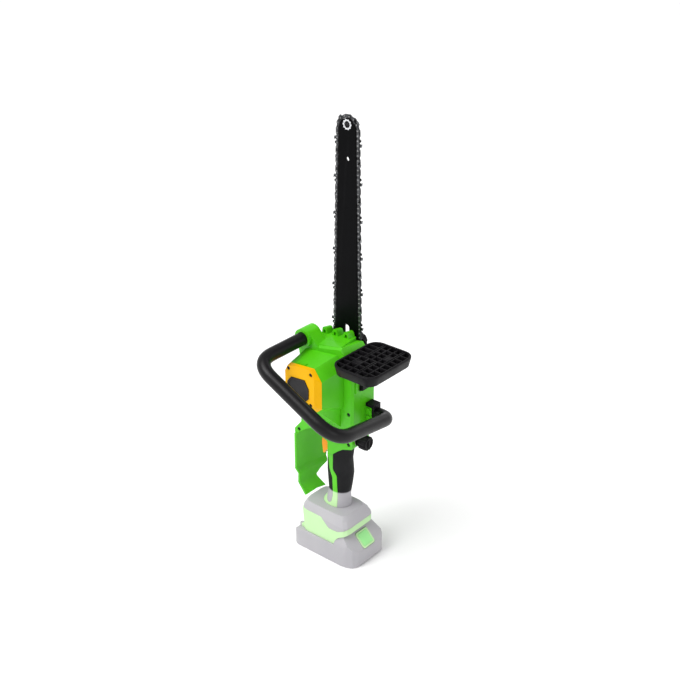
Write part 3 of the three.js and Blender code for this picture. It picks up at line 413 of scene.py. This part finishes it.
def wrap_handle(bm, sides=40):
    path = tube_path()
    headings = [(b - a).normalized() for a, b in zip([path[0]] + path[:-1], path[1:] + [path[-1]])]
    headings[0] = (path[1] - path[0]).normalized()
    headings[-1] = (path[-1] - path[-2]).normalized()
    side = headings[0].orthogonal().normalized()
    rings = []

    def ring(centre, heading, radius):
        up = heading.cross(side)
        return [centre + (side * math.cos(a) + up * math.sin(a)) * radius
                for a in (2 * math.pi * i / sides for i in range(sides))]
    lip = TUBE_LIP
    for i, (point, heading) in enumerate(zip(path, headings)):
        side = (side - heading * side.dot(heading)).normalized()
        if i == 0:
            rings += [ring(point, heading, TUBE_RADIUS - lip),
                      ring(point + heading * lip, heading, TUBE_RADIUS)]
        elif i == len(path) - 1:
            rings += [ring(point - heading * lip, heading, TUBE_RADIUS),
                      ring(point - heading * lip * 0.3, heading, TUBE_RADIUS - lip * 0.3),
                      ring(point, heading, TUBE_RADIUS - lip)]
        else:
            rings.append(ring(point, heading, TUBE_RADIUS))
    loft(bm, rings)


new_piece("wrap_tube", wrap_handle, "tube", "root", ["wrap_handle"])


# ---------------------------------------------------------------- saw chain
BAR_X, BAR_Y = middle("guide_bar")[0], middle("guide_bar")[1]
NOSE = middle("nose_sprocket")[2]
NOSE_RADIUS = 13.6
BAR_TAPER = 0.0188            # how much each edge spreads per millimetre below the nose
SHOULDER_Z, SHOULDER_RADIUS = 304, 3      # where the bar ends and the chain turns to the sprocket
DRIVE_Z, DRIVE_RADIUS = middle("drive_shaft")[2], 15.4
LINKS = 60
RIVET_LINE = 2.9              # the rivets stand this far out from the bar's edge
STRAP_ROUND = 2.15            # the straps' round ends, about their rivets
STRAP_WAIST = 1.9             # their inner edge, halfway between the rivets
STRAP_LEVELS = 0.75, 1.65     # inner and outer face, from the bar's middle plane
DRIVE_ROUND, DRIVE_FOOT, DRIVE_HALF = 1.95, 2.3, 0.6      # drive links: round ends, inner edge, thickness
CUTTER_TOP, CUTTER_SLOPE = 3.2, 0.05      # the cutters' top plates: height, and rise along the link


def belt():
    """The chain's line round nose, shoulders and drive sprocket, as pulleys with arcs and straight runs."""
    half = NOSE_RADIUS + (NOSE - SHOULDER_Z) * BAR_TAPER - SHOULDER_RADIUS
    pulleys = [(BAR_X, NOSE, NOSE_RADIUS), (BAR_X - half, SHOULDER_Z, SHOULDER_RADIUS),
               (BAR_X, DRIVE_Z, DRIVE_RADIUS), (BAR_X + half, SHOULDER_Z, SHOULDER_RADIUS)]
    leave = []
    for (x, z, r), (x2, z2, r2) in zip(pulleys, pulleys[1:] + pulleys[:1]):
        leave.append(math.atan2(z2 - z, x2 - x) - math.acos((r - r2) / math.hypot(x2 - x, z2 - z)))
    parts = []
    for i, (x, z, r) in enumerate(pulleys):
        x2, z2, r2 = pulleys[(i + 1) % len(pulleys)]
        sweep = (leave[i] - leave[i - 1]) % (2 * math.pi)
        run = math.sqrt((x2 - x) ** 2 + (z2 - z) ** 2 - (r - r2) ** 2)
        parts.append((x, z, r, leave[i - 1], sweep, run, leave[i]))
    return parts


BELT = belt()
BELT_LENGTH = sum(r * sweep + run for x, z, r, enter, sweep, run, out in BELT)


def belt_point(distance, push):
    left = distance % BELT_LENGTH
    for x, z, r, enter, sweep, run, out in BELT:
        if left <= r * sweep:
            angle = enter + left / r
            return Vector((x + (r + push) * math.cos(angle), 0, z + (r + push) * math.sin(angle)))
        left -= r * sweep
        if left <= run:
            along = out + math.pi / 2
            return Vector((x + (r + push) * math.cos(out) + left * math.cos(along), 0,
                           z + (r + push) * math.sin(out) + left * math.sin(along)))
        left -= run
    return belt_point(0, push)


RIVETS = [belt_point(BELT_LENGTH * i / (2 * LINKS), RIVET_LINE) for i in range(2 * LINKS)]


def link_frame(i):
    """Half length and a placer for the link from rivet i to the next: u along it, v outward, level in Y."""
    a, b = RIVETS[i], RIVETS[(i + 1) % len(RIVETS)]
    along = (b - a).normalized()
    outward = Vector((along.z, 0, -along.x))
    centre = (a + b) / 2

    def place(u, v, level):
        return centre + along * u + outward * v + Vector((0, BAR_Y + level, 0))
    return (b - a).length / 2, place


def waist(half):
    """The inner edge that straps and cutters share."""
    return [(-half * 0.6, -STRAP_ROUND), (-half * 0.3, -STRAP_WAIST), (half * 0.3, -STRAP_WAIST),
            (half * 0.6, -STRAP_ROUND)]


def strap_outline(half):
    """A side strap: round at the rivets, flat outside and waisted inside."""
    return arc(half, 0, STRAP_ROUND, -70, 90, 6) + arc(-half, 0, STRAP_ROUND, 90, 250, 6) + waist(half)


def cutter_outline(half):
    """A cutter: the depth gauge in front, a gullet, and the tooth at the back."""
    gauge_and_tooth = [(half + 1.6, 2.9), (half + 0.4, 3.5), (half - 1.2, 3.3), (half - 2.4, 1.2),
                       (half - 3.8, 0.9), (half - 4.6, 2.2), (half - 4.4, 4.3), (-half - 1.8, 3.8),
                       (-half - 2.2, 2.2)]
    return (arc(half, 0, STRAP_ROUND, -70, 20, 4) + gauge_and_tooth
            + arc(-half, 0, STRAP_ROUND, 160, 250, 4) + waist(half))


def chain_plates(bm):
    """Drive links, and pairs of straps between them; every second pair has a cutter, on -Y and +Y in turn."""
    for i in range(0, len(RIVETS), 2):
        half, place = link_frame(i)
        drive_link = (arc(half, 0, DRIVE_ROUND, -60, 90, 6) + arc(-half, 0, DRIVE_ROUND, 90, 240, 6)
                      + [(-half * 0.7, -DRIVE_FOOT), (half * 0.7, -DRIVE_FOOT)])
        plate(bm, drive_link, place, -DRIVE_HALF, DRIVE_HALF, 0.1)
    for i in range(1, len(RIVETS), 2):
        half, place = link_frame(i)
        pair = ((i - 1) // 2) % 4
        for side in (-1, 1):
            cutter = pair == (0 if side < 0 else 2)
            outline = cutter_outline(half) if cutter else strap_outline(half)
            plate(bm, outline, place, *sorted(side * level for level in STRAP_LEVELS), 0.12)
            if cutter:
                top = [(-half - 1.8, side * 0.3), (half - 4.6, side * -0.1), (half - 4.2, side * 2.7),
                       (-half - 1.8, side * 2.2)]
                loft(bm, [[place(u, CUTTER_TOP + lift + (u + half) * CUTTER_SLOPE, level)
                           for u, level in top] for lift in (0, 0.8)])


def chain_rivets(bm):
    for centre in RIVETS:
        rings = []
        for level, radius in ((-2.1, 0.5), (-1.95, 0.9), (-1.6, 1.1), (1.6, 1.1), (1.95, 0.9), (2.1, 0.5)):
            rings.append([centre + Vector((u, BAR_Y + level, v)) for u, v in arc(0, 0, radius, 0, 330, 11)])
        loft(bm, rings)


new_piece("chain_links", chain_plates, "chain", "root", ["saw_chain"], smooth=False)
new_piece("chain_rivets", chain_rivets, "rivet", "root")


# ---------------------------------------------------------------- nose marks and rivets
def star(radius, root, teeth):
    points = []
    for i in range(teeth):
        for turn, reach in ((-0.5, root), (-0.28, radius), (0.28, radius), (0.5, root)):
            angle = 2 * math.pi * (i + turn * 0.8) / teeth
            points.append((reach * math.cos(angle), reach * math.sin(angle)))
    return points


RING_Z = NOSE + 6             # the ring stands nearer the tip than the nose bearing
BAR_FACE = 2                  # the bar's faces, from its middle plane
NOSE_RIVET, SMALL_RIVET, RIVET_CIRCLE = 1.7, 0.9, 3.1      # radii


def nose_star(bm):
    """A thin toothed ring round the nose bearing, on both faces of the bar."""
    outline = star(6.9, 5.8, 10)
    for side in (-1, 1):
        face = BAR_Y + side * BAR_FACE
        rings = []
        for level, keep in ((0.0, 1), (0.16, 1), (0.16, 0.7), (0.0, 0.7)):
            rings.append([Vector((BAR_X + u * keep, face + side * level, RING_Z + v * keep)) * MM
                          for u, v in outline])
        made = [[bm.verts.new(point) for point in ring] for ring in rings]
        count = len(outline)
        for a, b in zip(made, made[1:] + made[:1]):
            for i in range(count):
                bm.faces.new((a[i], a[(i + 1) % count], b[(i + 1) % count], b[i]))


def nose_rivets(bm):
    """One large rivet in the middle of the ring and six small ones round it, on both faces."""
    turns = [math.radians(30 + 60 * k) for k in range(6)]
    places = [(0, 0, NOSE_RIVET)]
    places += [(RIVET_CIRCLE * math.cos(a), RIVET_CIRCLE * math.sin(a), SMALL_RIVET) for a in turns]
    for u, v, radius in places:
        for side in (-1, 1):
            face = BAR_Y + side * BAR_FACE
            rings = [[Vector((BAR_X + u + p, face + side * level, RING_Z + v + q))
                      for p, q in arc(0, 0, radius * keep, 0, 345, 15)]
                     for level, keep in ((-0.2, 1), (0.12, 1), (0.3, 0.75), (0.36, 0.3))]
            loft(bm, rings)


new_piece("nose_star", nose_star, "nose_mark", "root", smooth=False)
new_piece("nose_rivets", nose_rivets, "chain", "root")


# ---------------------------------------------------------------- front hand guard
GUARD_LOW, GUARD_HIGH = (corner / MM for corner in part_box("hand_guard"))
GUARD_CORNER = 16             # radius of the tray's corners
RIM = 3.4
RIB = 0.8                     # half a rib's width
RIB_EDGE = 0.3                # the rounding along a rib's crest
FLOOR_LIFT = 3.0
RIB_DROP = 1.0                # the ribs stop this far under the rim
CLOSE_RIBS = 0.06             # columns nearer than this leave a slot, as a share of the tray's depth
SLOT_DROP = 5                 # a slot's floor, under the rim
CELL_DROP = 0.4               # a filled cell's top, under the ribs' crests


def guard_tray(bm):
    """The tray from its underside, up round the rim and down to its floor: (inset, height) pairs."""
    low, high = GUARD_LOW, GUARD_HIGH
    levels = [(6.0, low.z), (3.6, low.z + 0.2), (2.8, low.z + 1.0), (0.25, high.z - 3.4), (0.0, high.z - 2.4),
              (0.0, high.z - 1.0), (0.35, high.z - 0.3), (1.1, high.z), (2.3, high.z), (2.9, high.z - 0.3),
              (3.1, high.z - 0.9), (3.3, low.z + FLOOR_LIFT + 0.6), (3.9, low.z + FLOOR_LIFT)]
    loft(bm, [[(u, v, z) for u, v in rounded(low.x + gap, high.x - gap, low.y + gap, high.y - gap,
                                             GUARD_CORNER - gap)] for gap, z in levels])


def guard_ribs(bm):
    """The tray's grid: two halves with columns of their own, and slots where two ribs stand close."""
    x = lambda a: GUARD_LOW.x + RIM + a * (GUARD_HIGH.x - GUARD_LOW.x - 2 * RIM)
    y = lambda b: GUARD_LOW.y + RIM + b * (GUARD_HIGH.y - GUARD_LOW.y - 2 * RIM)
    floor, top = GUARD_LOW.z + FLOOR_LIFT - 0.5, GUARD_HIGH.z - RIB_DROP

    def bar(x0, x1, y0, y1, crest):
        edge = RIB_EDGE
        loft(bm, [[(u, v, z) for u, v in rounded(x0 + k, x1 - k, y0 + k, y1 - k, 0.45 - k, 2)]
                  for k, z in ((0, floor), (0, crest - edge), (edge * 0.4, crest - edge * 0.3),
                               (edge, crest))])
    halves = [((0.2, 0.4, 0.575, 0.625, 0.81), 0.0, 0.5, (0.2, 0.4, 2)),
              ((0.25, 0.3, 0.45, 0.62, 0.76, 0.81), 0.5, 1.0, (0.62, 0.76, 1))]
    bar(x(0), x(1), y(0.5) - RIB, y(0.5) + RIB, top)
    for columns, first, last, (solid_from, solid_to, row) in halves:
        for c in columns:
            bar(x(c) - RIB, x(c) + RIB, y(first) - 0.4, y(last) + 0.4, top)
        edges = (0,) + columns + (1,)
        for left, right in zip(edges, edges[1:]):
            if right - left < CLOSE_RIBS:
                bar(x(left), x(right), y(first), y(last), GUARD_HIGH.z - SLOT_DROP)
                continue
            for r in (1, 2, 3):
                b = first + r / 4 * (last - first)
                bar(x(left) - 0.3, x(right) + 0.3, y(b) - RIB, y(b) + RIB, top)
        step = (last - first) / 4
        bar(x(solid_from), x(solid_to), y(first + row * step), y(first + (row + 1) * step),
            top - CELL_DROP)


new_piece("guard_tray", guard_tray, "black", "front_guard", ["hand_guard"])
new_piece("guard_ribs", guard_ribs, "black", "front_guard")


# ---------------------------------------------------------------- oil cap
FLUTE_DEPTH = 0.9             # how deep the knob's scallops are cut


def oil_cap(bm, sides=96, lobes=12):
    """A short neck, then a scalloped knob with rounded rims and a dished face."""
    low, high = (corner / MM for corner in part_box("oil_cap"))
    y, z = middle("oil_cap")[1], middle("oil_cap")[2]
    radius = (high.z - low.z) / 2
    neck = [(low.x, 5.4, 0), (low.x + 0.4, 6.0, 0), (38.2, 6.0, 0)]
    collar = [(38.4, 8.2, 0), (42.4, 8.2, 0), (42.6, 9.0, 0)]
    knob = [(43.2, radius - 0.5, 0.5), (44.2, radius, 1), (high.x - 1.8, radius, 1),
            (high.x - 0.7, radius - 0.5, 0.8), (high.x - 0.1, radius - 1.5, 0.3)]
    dish = [(high.x, radius - 2.4, 0), (high.x - 0.1, radius - 3.2, 0), (high.x - 0.9, radius - 4.0, 0),
            (high.x - 0.9, 2.0, 0)]
    rings = []
    for x, r, depth in neck + collar + knob + dish:
        ring = []
        for i in range(sides):
            a = 2 * math.pi * i / sides
            reach = r - depth * FLUTE_DEPTH * (0.5 + 0.5 * math.cos(lobes * a)) ** 2
            ring.append((x, y + reach * math.cos(a), z + reach * math.sin(a)))
        rings.append(ring)
    loft(bm, rings)


def oil_cap_bar(bm):
    """The raised finger bar across the cap's face."""
    low, high = (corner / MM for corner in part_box("oil_cap"))
    y, z = middle("oil_cap")[1], middle("oil_cap")[2]
    plate(bm, rounded(-1.2, 1.2, -5.8, 5.8, 1.0, 4), lambda u, v, level: (level, y + u, z + v),
          high.x - 1.2, high.x, 0.3)


new_piece("oil_cap_knob", oil_cap, "black", "tank_cap", ["oil_cap"])
new_piece("oil_cap_bar", oil_cap_bar, "black", "tank_cap")


# ---------------------------------------------------------------- battery release button
BUTTON_CENTRE = Vector((46.5, 0.8, 33.5))
BUTTON_TURN = math.pi / 4
BUTTON_HALF_Y, BUTTON_HALF = 12.5, 12.3
PAD_INSET = 2.7
PAD_HALF = 9.6                # half the pad's height, by which its levels shrink
POCKET_GAP = 0.45             # from the button to the square pocket in the battery


def on_button(u, v, level):
    """A point on the battery's sloped end: u across, v up the slope, level out of it."""
    out = Vector((math.cos(BUTTON_TURN), 0, math.sin(BUTTON_TURN)))
    up = Vector((-out.z, 0, out.x))
    return BUTTON_CENTRE + Vector((0, u, 0)) + up * v + out * level


def button_frame(bm):
    outer = rounded(-BUTTON_HALF_Y, BUTTON_HALF_Y, -BUTTON_HALF, BUTTON_HALF, 3.6)
    levels = [(0, -4.5), (0, 0.3), (0.2, 0.7), (0.7, 0.9), (1.9, 0.9), (2.4, 0.5)]
    loft(bm, [[on_button(u * (1 - gap / BUTTON_HALF), v * (1 - gap / BUTTON_HALF), level) for u, v in outer]
              for gap, level in levels])


def button_pad(bm):
    outer = rounded(-BUTTON_HALF_Y + PAD_INSET, BUTTON_HALF_Y - PAD_INSET, -BUTTON_HALF + PAD_INSET,
                    BUTTON_HALF - PAD_INSET, 2.2)
    levels = [(0, 0.0), (0, 0.7), (0.3, 1.0), (1.0, 1.15), (4.0, 1.3)]
    loft(bm, [[on_button(u * (1 - gap / PAD_HALF), v * (1 - gap / PAD_HALF), level) for u, v in outer]
              for gap, level in levels])


def button_corners(bm):
    """Fills the square pocket's corners round the button."""
    half_y, half, radius = BUTTON_HALF_Y + POCKET_GAP, BUTTON_HALF + POCKET_GAP, 4.0
    for su in (-1, 1):
        for sv in (-1, 1):
            cu, cv = su * (half_y - radius), sv * (half - radius)
            curve = [(cu + su * radius * math.cos(a), cv + sv * radius * math.sin(a))
                     for a in (math.pi / 2 * k / 6 for k in range(7))]
            outline = [(su * half_y, sv * half)] + curve[::-1]
            rings = [[on_button(u, v, level) for u, v in outline] for level in (-4, -0.15)]
            loft(bm, rings)


new_piece("button_frame", button_frame, "pale_green", "battery_latch", ["battery_button"])
new_piece("button_pad", button_pad, "button_green", "battery_latch")
new_piece("button_corners", button_corners, "pale_grey", "battery", smooth=False)


# ---------------------------------------------------------------- stage, lights and camera
LIT_POINT = Vector((0, 0, 0.3))
HORIZON, ZENITH = (0.92, 0.92, 0.92, 1), (0.46, 0.46, 0.46, 1)
HORIZON_END, ZENITH_START = 0.12, 0.5     # heights, as parts of the sky's half circle
FLOOR_SIZE, FLOOR_Z = 40, -0.0006
SKY_POWER, SKY_ANGLE, SKY_HEADING = 2.1, 50, (0.25, 0.45, -1)


def add_light(name, data, heading):
    light = bpy.data.objects.new(name, data)
    bpy.context.scene.collection.objects.link(light)
    light.rotation_euler = Vector(heading).to_track_quat("-Z", "Y").to_euler()
    return light


def area_light(name, place, size, power):
    """A round lamp that points at the middle of the saw."""
    data = bpy.data.lights.new(name, "AREA")
    data.shape = "DISK"
    data.size = size
    data.energy = power
    add_light(name, data, LIT_POINT - Vector(place)).location = place


def stage():
    """The white floor, a sky that darkens upwards, and a soft sun."""
    bpy.ops.mesh.primitive_plane_add(size=FLOOR_SIZE, location=(0, 0, FLOOR_Z))
    floor = bpy.context.object
    floor.name = "floor"
    surface = Surface("studio_floor", specular=0.1)
    surface.colour(surface.mix(surface.noise(3, 2), rgb(250, 250, 250), rgb(246, 246, 246)))
    surface.roughness(surface.noise(8, 2), 0.8, 0.9)
    floor.data.materials.append(surface.material)
    world = bpy.data.worlds.new("studio")
    bpy.context.scene.world = world
    world.use_nodes = True
    tree = world.node_tree
    place = tree.nodes.new("ShaderNodeTexCoord")
    height = tree.nodes.new("ShaderNodeSeparateXYZ")
    ramp = tree.nodes.new("ShaderNodeValToRGB")
    stops = zip(ramp.color_ramp.elements, (HORIZON_END, ZENITH_START), (HORIZON, ZENITH))
    for element, position, colour in stops:
        element.position, element.color = position, colour
    tree.links.new(place.outputs["Generated"], height.inputs[0])
    tree.links.new(height.outputs["Z"], ramp.inputs[0])
    tree.links.new(ramp.outputs[0], tree.nodes["Background"].inputs["Color"])
    sun = bpy.data.lights.new("sky", "SUN")
    sun.energy = SKY_POWER
    sun.angle = math.radians(SKY_ANGLE)
    add_light("sky", sun, SKY_HEADING)


CAMERA_PLACE = Vector((0.9105, -1.0836, 1.035))
CAMERA_AZIMUTH, CAMERA_TILT = 40.0, 26.5     # degrees: turned from +Y, looking down
CAMERA_LENS, CAMERA_SENSOR = 63.53, 36


def camera():
    """The camera that was fitted to the photo."""
    azimuth, tilt = math.radians(CAMERA_AZIMUTH), math.radians(CAMERA_TILT)
    heading = Vector((-math.sin(azimuth) * math.cos(tilt), math.cos(azimuth) * math.cos(tilt),
                      -math.sin(tilt)))
    data = bpy.data.cameras.new("camera")
    data.lens = CAMERA_LENS
    data.sensor_width = CAMERA_SENSOR
    seen_from = bpy.data.objects.new("camera", data)
    bpy.context.scene.collection.objects.link(seen_from)
    seen_from.location = CAMERA_PLACE
    seen_from.rotation_euler = heading.to_track_quat("-Z", "Y").to_euler()
    bpy.context.scene.camera = seen_from


stage()
camera()
for name, place, size, power in (("key", (-0.5, -1.5, 2.3), 1.1, 16), ("fill", (2.0, -0.6, 1.3), 1.4, 9),
                                 ("rim", (0.2, 2.0, 1.6), 1.4, 7)):
    area_light(name, place, size, power)
bpy.context.scene.view_settings.view_transform = "Standard"
